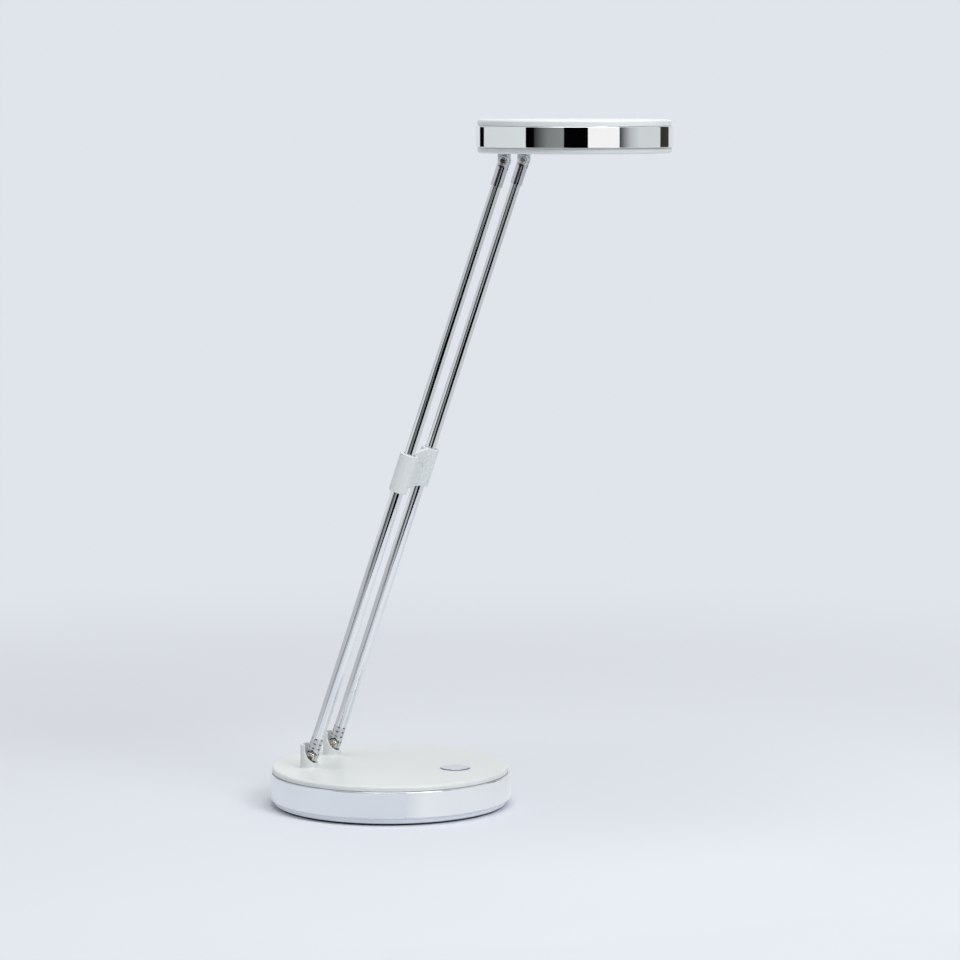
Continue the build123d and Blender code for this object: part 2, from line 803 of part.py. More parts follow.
def hinge_washers(frame, radius, bore_radius):
    """Friction washers on both sides of each tongue."""
    with BuildPart() as washers:
        for sign in (1, -1):
            with Locations(*hinge_seats(frame, sign * washer_y)):
                Cylinder(radius, washer_thickness)
                Cylinder(bore_radius, washer_thickness, mode=Mode.SUBTRACT)
    return washers


# Screws, washers and nuts of the base hinges
base_hinge_screw = pan_screw(
    base_hinge_screw_radius,
    2 * ear_face + base_hinge_nut_height + hinge_screw_spare,
    base_hinge_head_radius,
    base_hinge_head_height,
)
with BuildPart() as base_hinge_screws:
    with Locations(*hinge_seats(arm_frame, -ear_face)):
        add(base_hinge_screw)
save(base_hinge_screws, "base_hinge_screws")

base_hinge_washers = hinge_washers(arm_frame, base_tongue_radius, base_hinge_screw_radius + seat_gap)
save(base_hinge_washers, "base_hinge_washers")

base_hinge_nut = hex_nut(
    base_hinge_nut_width, base_hinge_nut_height, base_hinge_screw_radius + seat_gap
)
with BuildPart() as base_hinge_nuts:
    with Locations(*hinge_seats(arm_frame, ear_face + base_hinge_nut_height)):
        add(base_hinge_nut)
save(base_hinge_nuts, "base_hinge_nuts")

# Screws, washers and nuts of the head hinges
head_hinge_screw = pan_screw(
    head_hinge_screw_radius,
    2 * ear_face + head_hinge_nut_height + hinge_screw_spare,
    head_hinge_head_radius,
    head_hinge_head_height,
)
with BuildPart() as head_hinge_screws:
    with Locations(*hinge_seats(top_frame, -ear_face)):
        add(head_hinge_screw)
save(head_hinge_screws, "head_hinge_screws")

head_hinge_washers = hinge_washers(top_frame, head_washer_radius, head_hinge_screw_radius + seat_gap)
save(head_hinge_washers, "head_hinge_washers")

head_hinge_nut = hex_nut(
    head_hinge_nut_width, head_hinge_nut_height, head_hinge_screw_radius + seat_gap
)
with BuildPart() as head_hinge_nuts:
    with Locations(*hinge_seats(top_frame, ear_face + head_hinge_nut_height)):
        add(head_hinge_nut)
save(head_hinge_nuts, "head_hinge_nuts")

# Head hinge posts: a stud through the plate, a shoulder and a tongue
for side, y in arm_sides.items():
    with BuildPart(head_frame) as head_hinge_post:
        with Locations((-head_ahead, y, 0)):
            Cylinder(head_post_shoulder_radius, head_post_shoulder_height, align=hanging)
            Cylinder(head_stud_radius, head_stud_end, align=standing)
        with Locations((-head_ahead, y, -head_pivot_drop)):
            Cylinder(head_tongue_radius, tongue_thickness, rotation=across)
            Box(
                2 * head_tongue_radius,
                tongue_thickness,
                head_pivot_drop - head_post_shoulder_height,
                align=standing,
            )
            Cylinder(
                head_hinge_screw_radius + running_gap,
                tongue_thickness,
                rotation=across,
                mode=Mode.SUBTRACT,
            )
    save(head_hinge_post, f"head_hinge_post_{side}")

head_post_nut = hex_nut(head_post_nut_width, head_post_nut_height, head_stud_radius + seat_gap)
with BuildPart(head_frame) as head_post_nuts:
    with Locations(*[(-head_ahead, y, head_wall) for y in arm_sides.values()]):
        add(head_post_nut)
save(head_post_nuts, "head_post_nuts")

# Bottom plate of the head: light window, holes for the hinge posts and screw pads
with BuildPart(head_frame) as head_bottom_plate:
    with BuildSketch(head_section) as plate_section:
        with BuildLine():
            Polyline(
                (window_radius, 0),
                (head_rim_radius, 0),
                (head_rim_radius, head_plate_rim - head_seam_height),
                (head_rim_radius - seam_depth, head_plate_rim - head_seam_height),
                (head_rim_radius - seam_depth, head_plate_rim),
                (head_skirt_radius, head_plate_rim),
                (head_skirt_radius, head_joint_height),
                (head_skirt_inner, head_joint_height),
                (head_skirt_inner, head_wall),
                (rib_outer, head_wall),
                (rib_outer, head_wall + window_rib_height),
                (rib_inner, head_wall + window_rib_height),
                (rib_inner, head_wall),
                (window_radius, head_wall),
                close=True,
            )
        make_face()
        fillet(plate_section.vertices().sort_by_distance((head_rim_radius, 0))[0], head_edge_radius)
    revolve(axis=head_axis)
    with Locations(*[(-head_ahead, y, 0) for y in arm_sides.values()]):
        Cylinder(head_stud_radius + seat_gap, head_wall, align=standing, mode=Mode.SUBTRACT)
    with PolarLocations(head_screw_circle, head_screw_count, start_angle=head_screw_start):
        Cylinder(head_boss_radius, head_pad_z, align=standing)
        Cylinder(head_recess_radius, head_recess_depth, align=standing, mode=Mode.SUBTRACT)
        Cylinder(head_screw_radius + seat_gap, head_pad_z, align=standing, mode=Mode.SUBTRACT)
save(head_bottom_plate, "head_bottom_plate")

# Bright band round the head
head_trim_band = trim_band(head_section, head_axis, head_radius, head_plate_rim, head_band_height)
save(head_trim_band, "head_trim_band")

# Top cover of the head, with screw bosses and posts for the LED board
with BuildPart(head_frame) as head_cover:
    with BuildSketch(head_section) as head_cover_section:
        with BuildLine():
            Polyline(
                (0, head_ceiling),
                (head_skirt_inner, head_ceiling),
                (head_skirt_inner, head_joint_height),
                (head_skirt_radius, head_joint_height),
                (head_skirt_radius, head_rim_z),
                (head_rim_radius - seam_depth, head_rim_z),
                (head_rim_radius - seam_depth, head_rim_z + head_seam_height),
                (head_rim_radius, head_rim_z + head_seam_height),
                (head_rim_radius, head_top),
                (0, head_top),
                close=True,
            )
        make_face()
        top_corner = head_cover_section.vertices().sort_by_distance((head_rim_radius, head_top))[0]
        fillet(top_corner, head_edge_radius)
    revolve(axis=head_axis)
    with PolarLocations(head_screw_circle, head_screw_count, start_angle=head_screw_start):
        with Locations((0, 0, head_pad_z)):
            Cylinder(head_boss_radius, head_ceiling - head_pad_z, align=standing)
            Cylinder(head_screw_radius + seat_gap, head_screw_length, align=standing, mode=Mode.SUBTRACT)
    with PolarLocations(led_screw_circle, led_screw_count):
        with Locations((0, 0, led_board_top)):
            Cylinder(led_post_radius, head_ceiling - led_board_top, align=standing)
            Cylinder(led_screw_radius + seat_gap, led_screw_length, align=standing, mode=Mode.SUBTRACT)
save(head_cover, "head_cover")

# Frosted diffuser in the window, held down by the reflector ring
with BuildPart(head_frame) as diffuser:
    with Locations((0, 0, diffuser_recess)):
        Cylinder(window_radius - diffuser_gap, flange_z - diffuser_recess, align=standing)
    with Locations((0, 0, head_wall)):
        Cylinder(flange_radius, diffuser_flange_height, align=standing)
save(diffuser, "diffuser")

with BuildPart(head_frame) as reflector_ring:
    with Locations((0, 0, flange_z)):
        Cylinder(flange_radius, reflector_height, align=standing)
        Cylinder(flange_radius - reflector_wall, reflector_height, align=standing, mode=Mode.SUBTRACT)
save(reflector_ring, "reflector_ring")

# LED board, screwed to the cover's posts from below, and its LEDs
with BuildPart(head_frame) as led_board:
    with Locations((0, 0, led_board_bottom)):
        Cylinder(flange_radius, led_board_thickness, align=standing)
        with PolarLocations(led_screw_circle, led_screw_count):
            Cylinder(led_screw_radius + seat_gap, led_board_thickness, align=standing, mode=Mode.SUBTRACT)
save(led_board, "led_board")

with BuildPart(head_frame) as leds:
    with Locations((0, 0, led_board_bottom)):
        with PolarLocations(led_inner_circle, led_inner_count):
            Box(led_length, led_width, led_height, align=hanging)
        with PolarLocations(led_outer_circle, led_outer_count):
            Box(led_length, led_width, led_height, align=hanging)
save(leds, "leds")

led_screw = pan_screw(led_screw_radius, led_screw_length, led_screw_head_radius, led_screw_head_height)
with BuildPart(head_frame) as led_board_screws:
    for seat in PolarLocations(led_screw_circle, led_screw_count).local_locations:
        x, y, _ = seat.position
        with Locations(Plane((x, y, led_board_bottom), z_dir=(0, 0, -1))):
            add(led_screw)
save(led_board_screws, "led_board_screws")

# Screws that hold the plate to the cover, with their heads below
head_screw = pan_screw(head_screw_radius, head_screw_length, head_screw_head_radius, head_screw_head_height)
with BuildPart(head_frame) as head_screws:
    head_screw_seats = PolarLocations(head_screw_circle, head_screw_count, start_angle=head_screw_start)
    for seat in head_screw_seats.local_locations:
        x, y, _ = seat.position
        with Locations(Plane((x, y, head_recess_depth), z_dir=(0, 0, -1))):
            add(head_screw)
save(head_screws, "head_screws")

# Leads in the head: from the board to the two posts
head_lead_z = led_board_top + head_lead_rise
head_routes = [
    [
        (head_lead_x, sign * head_lead_y, led_board_top),
        (head_lead_x, sign * head_lead_y, head_lead_z),
        (-head_ahead, sign * arm_spacing / 2, head_lead_z),
        (-head_ahead, sign * arm_spacing / 2, head_stud_end),
    ]
    for sign in (1, -1)
]
head_lead_parts = [lead(points, lead_bend) for points in head_routes]
with BuildPart(head_frame) as head_leads:
    for lead_part in head_lead_parts:
        add(lead_part)
save(head_leads, "head_leads")
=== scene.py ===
import json
from math import cos, pi, radians, sin

import bpy
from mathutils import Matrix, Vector


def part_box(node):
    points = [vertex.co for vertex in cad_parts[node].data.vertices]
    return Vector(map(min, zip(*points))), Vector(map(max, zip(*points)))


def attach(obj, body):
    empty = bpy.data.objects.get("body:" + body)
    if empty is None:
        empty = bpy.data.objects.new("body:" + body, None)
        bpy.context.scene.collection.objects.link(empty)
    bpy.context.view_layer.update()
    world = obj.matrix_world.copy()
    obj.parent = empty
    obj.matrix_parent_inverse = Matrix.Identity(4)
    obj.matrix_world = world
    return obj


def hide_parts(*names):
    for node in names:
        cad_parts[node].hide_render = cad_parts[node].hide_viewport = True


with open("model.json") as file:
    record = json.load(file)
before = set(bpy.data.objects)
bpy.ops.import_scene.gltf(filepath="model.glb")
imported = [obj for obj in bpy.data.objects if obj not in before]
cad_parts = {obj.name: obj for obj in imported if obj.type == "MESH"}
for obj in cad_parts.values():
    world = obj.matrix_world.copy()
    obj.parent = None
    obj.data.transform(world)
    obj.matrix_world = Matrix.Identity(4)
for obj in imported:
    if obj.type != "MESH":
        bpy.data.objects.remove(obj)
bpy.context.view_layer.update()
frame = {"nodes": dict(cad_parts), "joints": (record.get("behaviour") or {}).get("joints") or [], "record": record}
nodes = frame["nodes"]
slotOfNode = {row["node"]: row["material_slot"] for row in frame["record"]["subparts"]}
jointByName = {joint["name"]: joint for joint in frame["joints"]}
scene = bpy.context.scene
scene.view_settings.view_transform = "Standard"
print("frame:", len(nodes), "nodes")


# camera, fitted to the photo's base rim, hinges and head rim
cameraView = {
    "place": (0.56673, -1.87253, 0.38032),
    "turn": 15.43106,  # degrees to the left of straight ahead
    "dip": 6.01118,  # degrees below level
    "focalPixels": 3700.0,
    "imagePixels": 960.0,
    "sensor": 36.0,
}
cameraData = bpy.data.cameras.new("photoCamera")
cameraData.sensor_width = cameraView["sensor"]
cameraData.lens = cameraView["focalPixels"] / cameraView["imagePixels"] * cameraView["sensor"]
camera = bpy.data.objects.new("photoCamera", cameraData)
camera.location = cameraView["place"]
camera.rotation_euler = (radians(90 - cameraView["dip"]), 0, radians(cameraView["turn"]))
scene.collection.objects.link(camera)
scene.camera = camera
print("camera: lens", round(cameraData.lens, 2))


# small helpers for node trees
def linearShare(value):
    share = value / 255
    return share / 12.92 if share <= 0.04045 else ((share + 0.055) / 1.055) ** 2.4


def paint(tint):
    return (*[linearShare(value) for value in tint], 1)


def addNode(tree, kind, inputs=None, **settings):
    node = tree.nodes.new(kind)
    for key, value in settings.items():
        setattr(node, key, value)
    for key, value in (inputs or {}).items():
        if isinstance(value, bpy.types.NodeSocket):
            tree.links.new(value, node.inputs[key])
        else:
            node.inputs[key].default_value = value
    return node


def maths(tree, operation, first, second=0.0, clamp=False):
    node = addNode(tree, "ShaderNodeMath", {0: first, 1: second}, operation=operation, use_clamp=clamp)
    return node.outputs[0]


def blendColours(tree, share, first, second):
    node = addNode(tree, "ShaderNodeMix", {0: share, 6: first, 7: second}, data_type="RGBA")
    return node.outputs[2]


def spread(tree, value, low, high, start=0.0, end=1.0):
    inputs = {0: value, 1: start, 2: end, 3: low, 4: high}
    return addNode(tree, "ShaderNodeMapRange", inputs).outputs[0]


def newGroup(name, kind, inputs, outputs):
    tree = bpy.data.node_groups.new(name, kind)
    for label, socketType, value in inputs:
        socket = tree.interface.new_socket(label, in_out="INPUT", socket_type=socketType)
        if value is not None:
            socket.default_value = value
    for label, socketType in outputs:
        tree.interface.new_socket(label, in_out="OUTPUT", socket_type=socketType)
    return tree, tree.nodes.new("NodeGroupInput").outputs, tree.nodes.new("NodeGroupOutput")


# shared surface effects, all on the piece's own coordinates
def makeGrainGroup():
    inputs = [("Vector", "NodeSocketVector", None), ("Grain Size", "NodeSocketFloat", 0.0005),
              ("Cloud Size", "NodeSocketFloat", 0.03)]
    outputs = [("Grain", "NodeSocketFloat"), ("Cloud", "NodeSocketFloat")]
    tree, entry, leave = newGroup("mouldedGrain", "ShaderNodeTree", inputs, outputs)
    for label, size, detail in (("Grain", "Grain Size", 3.0), ("Cloud", "Cloud Size", 2.0)):
        scale = maths(tree, "DIVIDE", 1.0, entry[size])
        noise = addNode(tree, "ShaderNodeTexNoise",
                        {"Vector": entry["Vector"], "Scale": scale, "Detail": detail})
        tree.links.new(noise.outputs[0], leave.inputs[label])
    return tree


scratches = {
    "turns": ((0.3, 0.5, 0.2), (1.1, -0.6, 0.9)),  # two directions, in radians
    "rarest": 0.74,  # noise level at which a scratch starts when the share is nil
    "perShare": 0.3,
    "full": 0.8,  # noise level of a whole scratch
}


def makeScratchGroup():
    inputs = [("Vector", "NodeSocketVector", None), ("Spacing", "NodeSocketFloat", 0.0008),
              ("Stretch", "NodeSocketFloat", 30.0), ("Share", "NodeSocketFloat", 0.1)]
    tree, entry, leave = newGroup("handlingScratches", "ShaderNodeTree", inputs,
                                  [("Mask", "NodeSocketFloat")])
    scale = maths(tree, "DIVIDE", 1.0, entry["Spacing"])
    squeezed = maths(tree, "DIVIDE", 1.0, entry["Stretch"])
    threshold = maths(tree, "SUBTRACT", scratches["rarest"],
                      maths(tree, "MULTIPLY", entry["Share"], scratches["perShare"]))
    layers = []
    for turn in scratches["turns"]:
        turned = addNode(tree, "ShaderNodeVectorRotate", {"Vector": entry["Vector"], "Rotation": turn},
                         rotation_type="EULER_XYZ")
        stretch = addNode(tree, "ShaderNodeCombineXYZ", {0: 1.0, 1: 1.0, 2: squeezed})
        long = addNode(tree, "ShaderNodeVectorMath", {0: turned.outputs[0], 1: stretch.outputs[0]},
                       operation="MULTIPLY")
        noise = addNode(tree, "ShaderNodeTexNoise",
                        {"Vector": long.outputs[0], "Scale": scale, "Detail": 1.0})
        layers.append(spread(tree, noise.outputs[0], 0.0, 1.0, threshold, scratches["full"]))
    tree.links.new(maths(tree, "MAXIMUM", *layers), leave.inputs["Mask"])
    return tree


grainGroup = makeGrainGroup()
scratchGroup = makeScratchGroup()


def newMaterial(name):
    material = bpy.data.materials.new(name)
    material.use_nodes = True
    tree = material.node_tree
    shader = tree.nodes["Principled BSDF"]
    place = tree.nodes.new("ShaderNodeTexCoord").outputs["Object"]
    return material, tree, shader, place


def useGroup(tree, group, place, **values):
    node = addNode(tree, "ShaderNodeGroup", node_tree=group)
    tree.links.new(place, node.inputs["Vector"])
    for label, value in values.items():
        node.inputs[label].default_value = value
    return node.outputs


def bumpFrom(tree, shader, height, depth):
    bump = addNode(tree, "ShaderNodeBump", {"Height": height, "Strength": 1.0, "Distance": depth})
    tree.links.new(bump.outputs[0], shader.inputs["Normal"])


surface = {
    "noiseReach": (0.3, 0.7),  # nearly all of a noise lies between these
    "scratchDepth": 0.5,  # against the grain's
    "ior": 1.5,
    "glowRadius": (0.002, 0.002, 0.002),
}


def mouldedFinish(name, look):
    material, tree, shader, place = newMaterial(name)
    grain = useGroup(tree, grainGroup, place,
                     **{"Grain Size": look["grainSize"], "Cloud Size": look["cloudSize"]})
    scratch = useGroup(tree, scratchGroup, place,
                       **{"Spacing": look["scratchSpacing"], "Share": look["scratchShare"]})["Mask"]
    cloud = spread(tree, grain["Cloud"], 0.0, 1.0, *surface["noiseReach"])
    tree.links.new(blendColours(tree, cloud, paint(look["tint"]), paint(look["tintClouded"])),
                   shader.inputs["Base Color"])
    rough = spread(tree, grain["Grain"], *look["roughness"], *surface["noiseReach"])
    rubbed = maths(tree, "ADD", rough, maths(tree, "MULTIPLY", scratch, look["scratchRoughness"]), True)
    tree.links.new(rubbed, shader.inputs["Roughness"])
    height = maths(tree, "SUBTRACT", grain["Grain"],
                   maths(tree, "MULTIPLY", scratch, surface["scratchDepth"]))
    bumpFrom(tree, shader, height, look["grainDepth"])
    shader.inputs["Metallic"].default_value = look.get("metallic", 0.0)
    shader.inputs["IOR"].default_value = look.get("ior", surface["ior"])
    shader.inputs["Subsurface Weight"].default_value = look.get("glow", 0.0)
    shader.inputs["Subsurface Radius"].default_value = surface["glowRadius"]
    return material


# one dictionary per finish
finishes = {
    "white_plastic": {
        "tint": (224, 229, 229), "tintClouded": (227, 231, 230),
        "grainSize": 0.00042, "cloudSize": 0.035, "grainDepth": 0.000012,
        "roughness": (0.30, 0.42), "scratchSpacing": 0.0006, "scratchShare": 0.06,
        "scratchRoughness": 0.10,
    },
    "chrome_trim": {
        "tint": (234, 237, 240), "tintClouded": (230, 233, 237),
        "grainSize": 0.0045, "cloudSize": 0.03, "grainDepth": 0.0000018,
        "roughness": (0.015, 0.045), "scratchSpacing": 0.0003, "scratchShare": 0.10,
        "scratchRoughness": 0.06, "metallic": 1.0,
    },
    "fork_metal": {
        "tint": (222, 225, 229), "tintClouded": (212, 215, 220),
        "grainSize": 0.0016, "cloudSize": 0.006, "grainDepth": 0.0000012,
        "roughness": (0.04, 0.09), "scratchSpacing": 0.0003, "scratchShare": 0.14,
        "scratchRoughness": 0.08, "metallic": 1.0,
    },
    "hinge_screw": {
        "tint": (234, 231, 224), "tintClouded": (216, 208, 192),
        "grainSize": 0.0007, "cloudSize": 0.002, "grainDepth": 0.000002,
        "roughness": (0.08, 0.16), "scratchSpacing": 0.0002, "scratchShare": 0.16,
        "scratchRoughness": 0.10, "metallic": 1.0,
    },
    "steel_hardware": {
        "tint": (196, 201, 206), "tintClouded": (178, 184, 184),
        "grainSize": 0.0006, "cloudSize": 0.003, "grainDepth": 0.000006,
        "roughness": (0.22, 0.38), "scratchSpacing": 0.0002, "scratchShare": 0.18,
        "scratchRoughness": 0.15, "metallic": 1.0,
    },
    "ballast_steel": {
        "tint": (126, 128, 131), "tintClouded": (98, 96, 96),
        "grainSize": 0.0012, "cloudSize": 0.012, "grainDepth": 0.00003,
        "roughness": (0.40, 0.62), "scratchSpacing": 0.0010, "scratchShare": 0.25,
        "scratchRoughness": 0.15, "metallic": 1.0,
    },
    "foot_rubber": {
        "tint": (46, 46, 43), "tintClouded": (60, 60, 56),
        "grainSize": 0.0006, "cloudSize": 0.015, "grainDepth": 0.00004,
        "roughness": (0.62, 0.84), "scratchSpacing": 0.0010, "scratchShare": 0.12,
        "scratchRoughness": 0.08,
    },
    "board": {
        "tint": (38, 92, 60), "tintClouded": (52, 112, 72),
        "grainSize": 0.0004, "cloudSize": 0.004, "grainDepth": 0.00001,
        "roughness": (0.30, 0.45), "scratchSpacing": 0.0008, "scratchShare": 0.05,
        "scratchRoughness": 0.10,
    },
    "black_plastic": {
        "tint": (34, 34, 36), "tintClouded": (42, 42, 44),
        "grainSize": 0.0004, "cloudSize": 0.008, "grainDepth": 0.000014,
        "roughness": (0.38, 0.56), "scratchSpacing": 0.0006, "scratchShare": 0.10,
        "scratchRoughness": 0.12,
    },
    "contact_brass": {
        "tint": (206, 172, 98), "tintClouded": (186, 148, 80),
        "grainSize": 0.0005, "cloudSize": 0.002, "grainDepth": 0.000004,
        "roughness": (0.18, 0.32), "scratchSpacing": 0.0002, "scratchShare": 0.18,
        "scratchRoughness": 0.12, "metallic": 1.0,
    },
    "lead_insulation": {
        "tint": (172, 44, 38), "tintClouded": (156, 38, 34),
        "grainSize": 0.0004, "cloudSize": 0.006, "grainDepth": 0.000012,
        "roughness": (0.36, 0.50), "scratchSpacing": 0.0006, "scratchShare": 0.08,
        "scratchRoughness": 0.10,
    },
    "frosted_diffuser": {
        "tint": (238, 241, 241), "tintClouded": (233, 237, 238),
        "grainSize": 0.00035, "cloudSize": 0.02, "grainDepth": 0.00003,
        "roughness": (0.48, 0.66), "scratchSpacing": 0.0008, "scratchShare": 0.04,
        "scratchRoughness": 0.08, "ior": 1.49, "glow": 0.35,
    },
    "reflector_white": {
        "tint": (238, 238, 236), "tintClouded": (232, 233, 231),
        "grainSize": 0.0005, "cloudSize": 0.012, "grainDepth": 0.00001,
        "roughness": (0.42, 0.58), "scratchSpacing": 0.0008, "scratchShare": 0.05,
        "scratchRoughness": 0.10,
    },
    "led_board_metal": {
        "tint": (226, 229, 230), "tintClouded": (214, 218, 221),
        "grainSize": 0.0005, "cloudSize": 0.006, "grainDepth": 0.000008,
        "roughness": (0.34, 0.50), "scratchSpacing": 0.0005, "scratchShare": 0.08,
        "scratchRoughness": 0.10,
    },
    "led_lens": {
        "tint": (236, 206, 98), "tintClouded": (228, 190, 76),
        "grainSize": 0.0003, "cloudSize": 0.0015, "grainDepth": 0.000008,
        "roughness": (0.26, 0.40), "scratchSpacing": 0.0005, "scratchShare": 0.03,
        "scratchRoughness": 0.05, "glow": 0.2,
    },
}
materials = {slot: mouldedFinish(slot + "_finish", look) for slot, look in finishes.items()}
for nodeName, node in nodes.items():
    node.data.materials.clear()
    node.data.materials.append(materials[slotOfNode[nodeName]])


# lay a second colour over a finish where a mask says so
def overlay(material, mask, tint, roughness, metallic):
    tree = material.node_tree
    shader = tree.nodes["Principled BSDF"]
    colour, rough = [shader.inputs[label].links[0].from_socket for label in ("Base Color", "Roughness")]
    tree.links.new(blendColours(tree, mask, colour, paint(tint)), shader.inputs["Base Color"])
    tree.links.new(spread(tree, mask, rough, roughness), shader.inputs["Roughness"])
    metal = shader.inputs["Metallic"]
    before = metal.links[0].from_socket if metal.is_linked else metal.default_value
    tree.links.new(spread(tree, mask, before, metallic), metal)


# distance from a hinge's axis, and how far a point lies towards the arm
def roundHinge(tree, hinge, armSide):
    place = addNode(tree, "ShaderNodeTexCoord").outputs["Object"]
    offset = addNode(tree, "ShaderNodeVectorMath", {0: place, 1: hinge}, operation="SUBTRACT")
    x, _, z = addNode(tree, "ShaderNodeSeparateXYZ", {0: offset.outputs[0]}).outputs
    inPlane = addNode(tree, "ShaderNodeCombineXYZ", {0: x, 2: z}).outputs[0]
    away = addNode(tree, "ShaderNodeVectorMath", {0: inPlane}, operation="LENGTH").outputs["Value"]
    along = addNode(tree, "ShaderNodeVectorMath", {0: inPlane, 1: armSide},
                    operation="DOT_PRODUCT").outputs["Value"]
    return away, maths(tree, "DIVIDE", along, away)


# satin on the faces that look along the hinge axes
flatFacing = (0.96, 0.99)  # how much of the normal lies along the axis


def satinFlats(material, look):
    tree = material.node_tree
    normal = addNode(tree, "ShaderNodeTexCoord").outputs["Normal"]
    _, facing, _ = addNode(tree, "ShaderNodeSeparateXYZ", {0: normal}).outputs
    flat = spread(tree, maths(tree, "ABSOLUTE", facing), 0.0, 1.0, *flatFacing)
    overlay(material, flat, look["flatTint"], look["flatRoughness"], look["flatMetallic"])
    return flat


# hinges: bright forks with satin ears and painted shade in an arc on the ears under the tube's end, and
# cross-recess screws with painted shade over their heads
hingeLooks = {
    "lower": {
        "joint": "arm_tilt", "screws": "base_hinge_screws", "armSide": 1,
        "flatTint": (238, 240, 245), "flatRoughness": 0.40, "flatMetallic": 0.15,
        "arcShadeTint": (34, 32, 34), "arcShadeRoughness": 0.5, "arcShadeMetallic": 0.1,
        "arcShadeReach": (0.0024, 0.0029), "arcShadeSpread": (0.25, 0.55),
        "screwShadeTint": (84, 68, 42), "screwShadeRoughness": 0.30, "screwShadeMetallic": 0.85,
        "screwShadeEdge": (0.46, 0.86), "screwShadeShift": (-0.16, 0.0, -0.34), "farScrewShade": 0.40,
    },
    "upper": {
        "joint": "head_tilt", "screws": "head_hinge_screws", "armSide": -1,
        "flatTint": (236, 238, 244), "flatRoughness": 0.42, "flatMetallic": 0.12,
        "arcShadeTint": (44, 42, 46), "arcShadeRoughness": 0.5, "arcShadeMetallic": 0.1,
        "arcShadeReach": (0.0019, 0.0026), "arcShadeSpread": (0.80, 0.97),
        "screwShadeTint": (46, 40, 26), "screwShadeRoughness": 0.30, "screwShadeMetallic": 0.85,
        "screwShadeEdge": (0.66, 1.02), "screwShadeShift": (0.0, 0.0, 0.0), "farScrewShade": 0.45,
    },
}
glints = {"size": 0.0006, "from": 0.54, "to": 0.62, "share": 0.75}  # spots where the painted shade on the screw heads gives way to the plain metal, seen as glints
# painted shade round the rim of each screw head, where it sits on the ear
screwRimShade = {"tint": (96, 90, 82), "reach": (0.90, 1.0), "roughness": 0.35, "metallic": 0.8}


def forkFinish(name, hinge, armSide, look):
    material = mouldedFinish(name, finishes["fork_metal"])
    tree = material.node_tree
    flat = satinFlats(material, look)
    away, towardsArm = roundHinge(tree, hinge, armSide)
    # painted shade: a dark arc on the flats a little way from the hinge axis, on the arm side, where the step
    # above them overhangs
    shaded = maths(tree, "MULTIPLY", spread(tree, away, 0.0, 1.0, *look["arcShadeReach"]),
                   spread(tree, towardsArm, 0.0, 1.0, *look["arcShadeSpread"]))
    overlay(material, maths(tree, "MULTIPLY", shaded, flat),
            look["arcShadeTint"], look["arcShadeRoughness"], look["arcShadeMetallic"])
    return material


def screwFinish(name, hinge, armSide, look, radius):
    material = mouldedFinish(name, finishes["hinge_screw"])
    tree = material.node_tree
    # painted shade over the screw head, its middle moved down on the lower hinge's screws so the top of the dome
    # stays bright, weaker on the far screw and broken by spots of plain metal
    shadeMiddle = hinge + Vector(look["screwShadeShift"]) * radius
    away, _ = roundHinge(tree, shadeMiddle, armSide)
    headShade = spread(tree, maths(tree, "DIVIDE", away, radius), 1.0, 0.0, *look["screwShadeEdge"])
    place = addNode(tree, "ShaderNodeTexCoord").outputs["Object"]
    noise = addNode(tree, "ShaderNodeTexNoise",
                    {"Vector": place, "Scale": 1 / glints["size"], "Detail": 1.0})
    shadeGaps = spread(tree, noise.outputs[0], 1.0, 1.0 - glints["share"], glints["from"], glints["to"])
    _, across, _ = addNode(tree, "ShaderNodeSeparateXYZ", {0: place}).outputs
    shadeAcross = spread(tree, across, 1.0, look["farScrewShade"], -radius, radius)
    headShade = maths(tree, "MULTIPLY", maths(tree, "MULTIPLY", headShade, shadeGaps), shadeAcross)
    overlay(material, headShade, look["screwShadeTint"], look["screwShadeRoughness"], look["screwShadeMetallic"])
    # painted shade round the rim of the screw head
    away, _ = roundHinge(tree, hinge, armSide)
    edge = spread(tree, maths(tree, "DIVIDE", away, radius), 0.0, 1.0, *screwRimShade["reach"])
    overlay(material, edge, screwRimShade["tint"], screwRimShade["roughness"], screwRimShade["metallic"])
    return material


armUp = Vector(jointByName["arm_slide"]["axis"]).normalized()
for level, look in hingeLooks.items():
    hinge = Vector(jointByName[look["joint"]]["pos_m"])
    armSide = armUp * look["armSide"]
    forkMaterial = forkFinish(level + "_fork_finish", hinge, armSide, look)
    for side in ("left", "right"):
        nodes[f"{level}_fork_{side}"].data.materials[0] = forkMaterial
    low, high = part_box(look["screws"])
    headRadius = (high.x - low.x) / 2
    nodes[look["screws"]].data.materials[0] = screwFinish(
        level + "_screw_finish", hinge, armSide, look, headRadius)
postMaterial = mouldedFinish("head_post_finish", finishes["steel_hardware"])
satinFlats(postMaterial, hingeLooks["upper"])
for side in ("left", "right"):
    nodes["head_hinge_post_" + side].data.materials[0] = postMaterial


# the bridge is duller, the tray's lip is painted a lighter, cooler white as painted light from the floor, and the
# button is satin, painted lavender as a reflection, with painted shade on its side
bridgeLook = {**finishes["white_plastic"], "roughness": (0.52, 0.64)}
nodes["arm_bridge"].data.materials[0] = mouldedFinish("bridge_finish", bridgeLook)
# painted light: a lighter, cooler white on the lip stands in for bluish light bounced up from the floor
trayPaintedLightLook = {**finishes["white_plastic"], "tint": (240, 243, 250), "tintClouded": (236, 240, 248)}
nodes["base_tray"].data.materials[0] = mouldedFinish("tray_painted_light_finish", trayPaintedLightLook)
